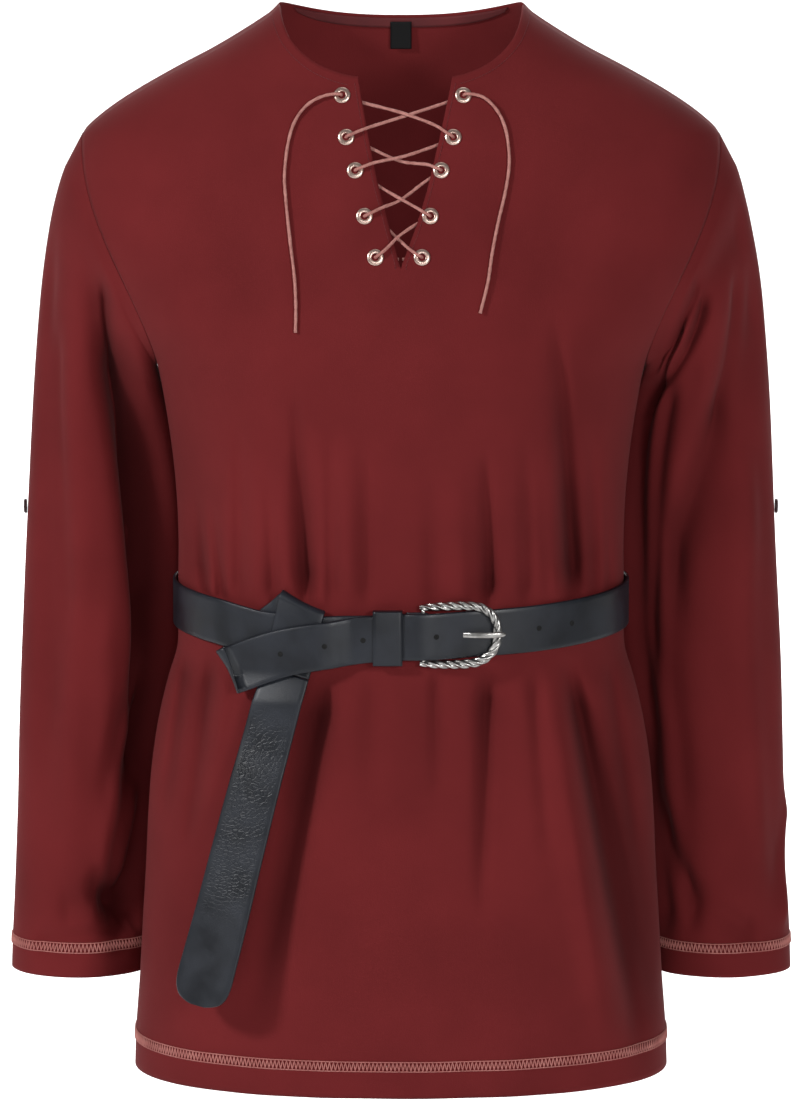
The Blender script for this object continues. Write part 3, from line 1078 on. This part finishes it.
def leather(name, stamp_from, stamp_to):
    """Black leather with a grain; the stamped lattice shows between two lengths along the strap, in metres."""
    material, tree, shader = new_material(name, (0.014, 0.016, 0.02), 0.42)
    effect, _, bumped = mottled(
        tree, shader, (0.005, 0.0062, 0.0095), (0.014, 0.017, 0.025), 0.22, 0.0004, slow=40.0, fine=1500.0,
    )
    stamped = tree.nodes.new("ShaderNodeGroup")
    stamped.node_tree = stamp
    stamped.inputs["From"].default_value = stamp_from
    stamped.inputs["To"].default_value = stamp_to
    relief = {"Strength": 0.5, "Distance": 0.00025, "Height": stamped.outputs["Height"]}
    pressed = node(tree, "ShaderNodeBump", {**relief, "Normal": bumped.outputs["Normal"]}, invert=True)
    tree.links.new(pressed.outputs["Normal"], shader.inputs["Normal"])
    tree.links.new(spread(tree, effect.outputs["Mask"], *MOTTLE_RANGE, 0.34, 0.5), shader.inputs["Roughness"])
    shader.inputs["Specular IOR Level"].default_value = 0.4
    shader.inputs["Coat Weight"].default_value = 0.08
    shader.inputs["Coat Roughness"].default_value = 0.25
    return material


# along, rise, out and thickness; the strap's end is turned round the bar first
BAR_ALONG, BAR_OUT, BAR_RADIUS, BAR_HIGH = 16.0, 4.4, 1.6, 20.5
TURN_RADIUS, TURN_THICK = 2.7, 1.6
turn_angle = np.linspace(-np.pi / 2, np.pi / 2, 9)
turn_rows = [(4, -0.4, BAR_OUT - TURN_RADIUS, TURN_THICK)] + [
    (BAR_ALONG + TURN_RADIUS * math.cos(a), -0.4, BAR_OUT + TURN_RADIUS * math.sin(a), TURN_THICK)
    for a in turn_angle
]
UNDER_ROWS = [
    (12, -0.5, 7.1, 1.6), (6, -0.8, 5.2, 2.2), (0, -1.1, 3.6, 2.6),
    (-8, -1.7, 3.2, 2.6), (-20, -2.5, 3.2, 2.6),
    (-26, -2.8, 2.6, 2.6), (-34, -3.2, 1.9, 2.6), (-44, -3.6, 2.2, 2.6),
    (-50, -3.8, 3.8, 2.6), (-56, -4, 5, 2.6),
    (-78, -4, 5, 2.6), (-100, -4, 5, 2.6), (-118, -2, 5, 2.6), (-136, 0, 4.8, 2.6), (-150, 0, 3.2, 2.6),
    (-168, 0, 1.9, 2.6), (-190, 0, 1.9, 2.6),
]
around_rows = [(a, 0, 1.9, 2.6) for a in np.linspace(-210, 80 - WAIST_LONG, 34)]
OVER_ROWS = [
    (60, 0, 1.9, 2.6), (50, -0.1, 2.7, 2.6), (40, -0.2, 4.9, 2.6), (30, -0.3, 7.4, 2.6), (20, -0.4, 9.7, 2.6),
    (14, -0.5, 10, 2.6), (8, -0.7, 8.6, 2.6), (2, -1, 6.5, 2.6), (-4, -1.4, 6.2, 2.6), (-10, -1.8, 6.2, 2.6),
    (-20, -2.5, 6.2, 2.6), (-28, -3.4, 5.8, 2.6), (-36, -4.8, 5.4, 2.6),
    (-44, -6.2, 7.6, 2.6), (-50, -7.4, 9.8, 2.6),
    (-58, -8.8, 11.2, 2.6), (-82, -14.8, 11.2, 2.6), (-102, -23, 11.2, 2.6), (-113, -28.6, 11.2, 2.6),
]
KNOT_START, KNOT_RUN = np.array([-120, -32, 11.2]), np.array([-0.91, -0.415, 0])
lower_fold = fold_over(KNOT_START, KNOT_RUN, (-0.6, 0.8, 0), -1, 4.65, 24)
strap_rows = turn_rows + UNDER_ROWS + around_rows + [(a - WAIST_LONG, r, o, t) for a, r, o, t in OVER_ROWS]
strap_line = catmull([(a, r, o, BELT_WIDE, t) for a, r, o, t in strap_rows], 5)
strap_end = tuple(part[:1] for part in lower_fold)
strap_end = (strap_end[0] - KNOT_RUN * 0.35 - np.array([WAIST_LONG, 0, 0]), -strap_end[1], *strap_end[2:])
plain_leather = leather("black_leather", -2.0, -1.0)
tail_leather = leather("stamped_leather", 0.02, 0.19)
long_strap = strap("waist_strap", joined(stations_of(strap_line, True), strap_end))
long_strap.data.materials.append(plain_leather)
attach(long_strap, "root")
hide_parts("belt_strap")

HANG_OUT, UNDER_OUT = 7.95, 1.9
UPPER_START, UPPER_RUN, UPPER_AXIS = (-72.5, 19, UNDER_OUT), (0.571, 0.821, 0), (-0.915, 0.403, 0)
upper_fold = fold_over(UPPER_START, UPPER_RUN, UPPER_AXIS, 1, (HANG_OUT - UNDER_OUT) / 2, 24)
# along, rise
BEHIND_ROWS = [(-109, -15.5), (-97, -3.5), (-84.5, 7)]
DOWN_ROWS = [(-72.9, 9), (-75.1, -1), (-77.4, -11), (-79.6, -21), (-81.5, -29.4)]
behind_line = catmull([(a, r, UNDER_OUT, BELT_WIDE, BELT_THICK) for a, r in BEHIND_ROWS], 5)
down_line = catmull([(a, r, HANG_OUT, BELT_WIDE, BELT_THICK) for a, r in DOWN_ROWS], 5)
behind, down = stations_of(behind_line, False, -1), stations_of(down_line, False)
hitch = strap("half_hitch", joined(lower_fold, behind, upper_fold, down))
hitch.data.materials.append(plain_leather)
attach(hitch, "root")
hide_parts("belt_loop")

# along, rise, out, width
TAIL_ROWS = [
    (-81.7, -30, 7.95, 34), (-84.6, -43, 7.95, 34), (-88.4, -60, 9.4, 34), (-93.5, -85, 13.2, 34),
    (-98, -110, 19, 34), (-106.5, -160, 28, 34), (-114, -210, 37, 34), (-118.6, -240, 42.3, 34),
    (-121.2, -257, 45.2, 33.6),
    (-122.2, -264, 46.3, 31), (-122.9, -269, 47.1, 26), (-123.3, -272, 47.6, 18), (-123.5, -273.6, 47.8, 9),
]
tail_line = catmull([(a, r, o, w, BELT_THICK) for a, r, o, w in TAIL_ROWS], 8)
tail = strap("hanging_tail", stations_of(tail_line, False))
tail.data.materials.append(tail_leather)
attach(tail, "root")
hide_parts("belt_tail")

# Punched holes of the strap, as dark pits let into its face where the outer layer shows
pit_material, _, _ = new_material("punched_hole", (0.002, 0.002, 0.002), 0.9)
PIT_PROFILE = [(0.01, 0.05), (1.55, 0.05), (1.85, 0.09), (2.05, 0.02), (2.05, -0.4), (0.01, -0.4)]
PIT_ALONG = (-84.5, -53.5, -27, 25, 101, 128)
over_table = np.array(OVER_ROWS[::-1], dtype=float)
strap_places = [v.co for v in long_strap.data.vertices]
strap_faces = BVHTree.FromPolygons(strap_places, [tuple(f.vertices) for f in long_strap.data.polygons])
for number, along in enumerate(PIT_ALONG, 1):
    rise = np.interp(along, over_table[:, 0], over_table[:, 1])
    far, near = from_belt((along, rise, 40)), from_belt((along, rise, 0))
    hit, facing, _, _ = strap_faces.ray_cast(Vector(far * MM), Vector(near - far))
    pit = turned(f"strap_hole_{number}", PIT_PROFILE, 20, np.array(hit) / MM, np.array(facing))
    pit.data.materials.append(pit_material)
    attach(pit, "root")

# The keeper: a leather band of 1.1 mm closed round both layers beside the buckle
KEEPER_ALONG, KEEPER_LONG, KEEPER_RISE, KEEPER_HALF, KEEPER_OUT = -9.5, 21.0, -1.9, 20.0, (0.35, 9.2)
corner = 1.3
keeper_line = []
for turn_start, rise_centre, out_centre in (
    (0, KEEPER_HALF - corner, KEEPER_OUT[1] - corner), (90, corner - KEEPER_HALF, KEEPER_OUT[1] - corner),
    (180, corner - KEEPER_HALF, KEEPER_OUT[0] + corner), (270, KEEPER_HALF - corner, KEEPER_OUT[0] + corner),
):
    for step in np.linspace(0, 90, 6):
        turn = math.radians(turn_start + step)
        toward = (math.cos(turn), math.sin(turn))
        keeper_line.append((rise_centre + corner * toward[0], out_centre + corner * toward[1], *toward))
keeper_line.append(keeper_line[0])
keeper_line = np.array(keeper_line)
keeper_along = np.linspace(-0.5, 0.5, 9)[None, :] * KEEPER_LONG + KEEPER_ALONG
keeper_sag = 0.1 * np.abs(keeper_along - KEEPER_ALONG) / KEEPER_LONG
keeper_places = (keeper_along, keeper_line[:, 0:1] + KEEPER_RISE, keeper_line[:, 1:2] - keeper_sag)
keeper_flat = np.stack(np.broadcast_arrays(*keeper_places), axis=-1)
keeper_outer = from_belt(keeper_flat)
keeper_ways = (0 * keeper_along, keeper_line[:, 2:3], keeper_line[:, 3:4])
keeper_shift = np.stack(np.broadcast_arrays(*keeper_ways), axis=-1)
keeper_normal = keeper_outer - from_belt(keeper_flat - keeper_shift)
keeper_normal /= np.linalg.norm(keeper_normal, axis=-1, keepdims=True)
keeper = shell("leather_keeper", [keeper_outer], [keeper_normal], 1.1)
add_uv(keeper, np.zeros(len(keeper.data.vertices)), np.zeros(len(keeper.data.vertices)))
keeper.data.materials.append(plain_leather)
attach(keeper, "root")
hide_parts("belt_keeper")

# Buckle
# Antique silver casting: a D of rope-twist rod with a plain bar, and a flat prong that hooks round the bar.

silver, silver_tree, silver_shader = new_material("antique_silver", (0.42, 0.41, 0.39), 0.28, 1.0)
mottled(
    silver_tree, silver_shader, (0.34, 0.33, 0.315), (0.56, 0.55, 0.53), 0.25, 0.0003, slow=220.0, fine=1400.0,
)

# along, rise, out, radius
FRAME_ROWS = [
    (13.5, 20.2, 4.4, 1.9), (22, 20.9, 4.6, 2.7), (34, 21.3, 5.2, 3),
    (46, 21.3, 5.8, 3.1), (56, 19.8, 6.4, 3.1),
    (63.5, 15, 6.8, 3), (67.6, 8, 6.9, 3), (68.8, 0, 6.9, 3),
]
frame_rows = FRAME_ROWS + [(a, -r, o, radius) for a, r, o, radius in FRAME_ROWS[-2::-1]]
frame_line = catmull(frame_rows, 22)
ROPE_PITCH = 30.0
rope_radius = frame_line[:, 3] * 0.92
rod = tube("rope_frame", from_belt(frame_line[:, :3]), rope_radius, 48, 0.2, 2 * math.pi / ROPE_PITCH, 4)
rod.data.materials.append(silver)
bar_line = [(BAR_ALONG, rise, BAR_OUT) for rise in np.linspace(-BAR_HIGH, BAR_HIGH, 12)]
bar = tube("buckle_bar", from_belt(bar_line), BAR_RADIUS, 16)
bar.data.materials.append(silver)
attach(bar, "root")
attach(rod, "root")
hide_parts("buckle_frame")

PRONG_HALF, PRONG_THICK, PRONG_RISE, PRONG_HOOK = 2.0, 1.1, -0.3, 2.9
hook_angle = np.radians(np.linspace(70, 270, 9))
prong_rows = [(BAR_ALONG + PRONG_HOOK * math.cos(a), BAR_OUT + PRONG_HOOK * math.sin(a)) for a in hook_angle]
prong_rows += [(23, 1.7), (32, 1.8), (39, 2.2), (44, 3.9), (50, 7.4)]
prong_rows += [(57, 10.4), (63, 12), (69, 12.4), (73, 12)]
prong_line = catmull(prong_rows, 6)
prong_run = np.gradient(prong_line, axis=0)
prong_run /= np.linalg.norm(prong_run, axis=1, keepdims=True)
prong_last = len(prong_line) - 1
taper_rows = [0, prong_last - 7, prong_last - 2, prong_last]
prong_taper = np.interp(np.arange(len(prong_line)), taper_rows, [1, 1, 0.8, 0.45])
prong_turn = np.linspace(0, 2 * np.pi, 20, endpoint=False)
prong_across = np.sign(np.cos(prong_turn)) * np.abs(np.cos(prong_turn)) ** 0.7
prong_wide = prong_across * PRONG_HALF * prong_taper[:, None]
prong_round = np.sign(np.sin(prong_turn)) * np.abs(np.sin(prong_turn)) ** 0.7
prong_high = prong_round * PRONG_THICK * prong_taper[:, None]
prong_along = prong_line[:, :1] - prong_run[:, 1:] * prong_high
prong_out = prong_line[:, 1:] + prong_run[:, :1] * prong_high
prong_flat = np.stack([prong_along, PRONG_RISE + prong_wide, prong_out], axis=-1)
prong_places = from_belt(prong_flat)
prong_rows_count, prong_sides = prong_places.shape[:2]
prong_ends = (prong_places[0].mean(0), prong_places[-1].mean(0))
prong_vertices = np.vstack([prong_places.reshape(-1, 3), *prong_ends]) * MM
prong_faces = grid_faces(prong_rows_count, prong_sides, closed_columns=True).tolist()
last_row = (prong_rows_count - 1) * prong_sides
prong_faces += [(last_row + prong_sides, (i + 1) % prong_sides, i) for i in range(prong_sides)]
end_middle = last_row + prong_sides + 1
prong_faces += [(end_middle, last_row + i, last_row + (i + 1) % prong_sides) for i in range(prong_sides)]
prong = new_object("flat_prong", prong_vertices, prong_faces)
face_out(prong)
prong.data.materials.append(silver)
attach(prong, "root")
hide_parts("buckle_prong")
